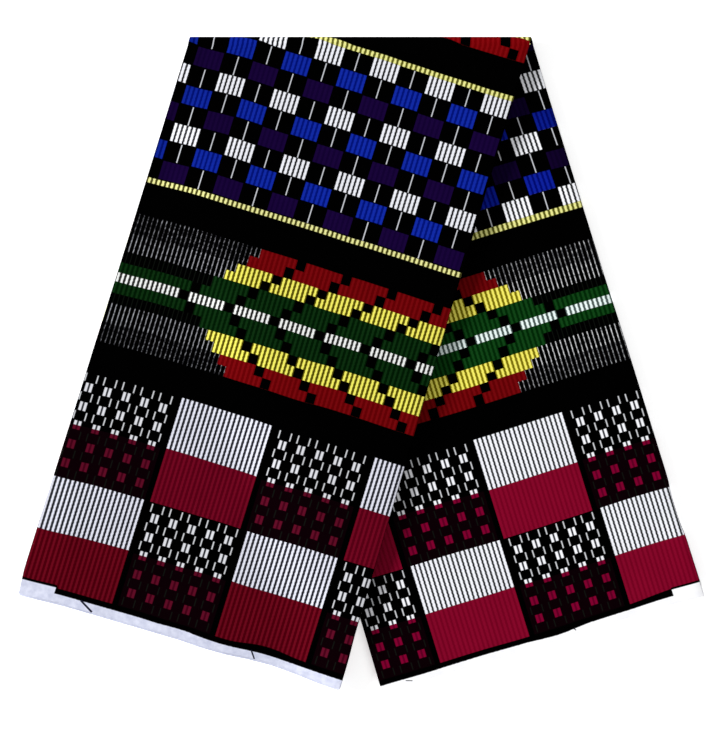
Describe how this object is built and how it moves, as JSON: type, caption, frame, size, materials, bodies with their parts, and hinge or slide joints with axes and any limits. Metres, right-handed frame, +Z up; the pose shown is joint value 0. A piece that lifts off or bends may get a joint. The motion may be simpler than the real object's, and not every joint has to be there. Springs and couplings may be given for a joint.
{
  "type": "folded wax print fabric",
  "caption": "Length of printed cotton folded back and forth into a long strip, folded again across its middle and laid flat as an upside-down V.",
  "frame": {"origin": "middle of the bounding box in plan, on the surface that the cloth lies on", "axes": "+Z up out of the printed face, +Y from the ends of the legs to the crease, +X to the right of the laid cloth"},
  "size_m": [0.641, 0.6092, 0.017],
  "materials": {
    "printed_cotton": "plain-woven cotton with a slightly waxed, low sheen, printed with coloured bars on a black ground"
  },
  "bodies": {
    "root": {"folded_cloth": "printed_cotton"}
  },
  "joints": []
}
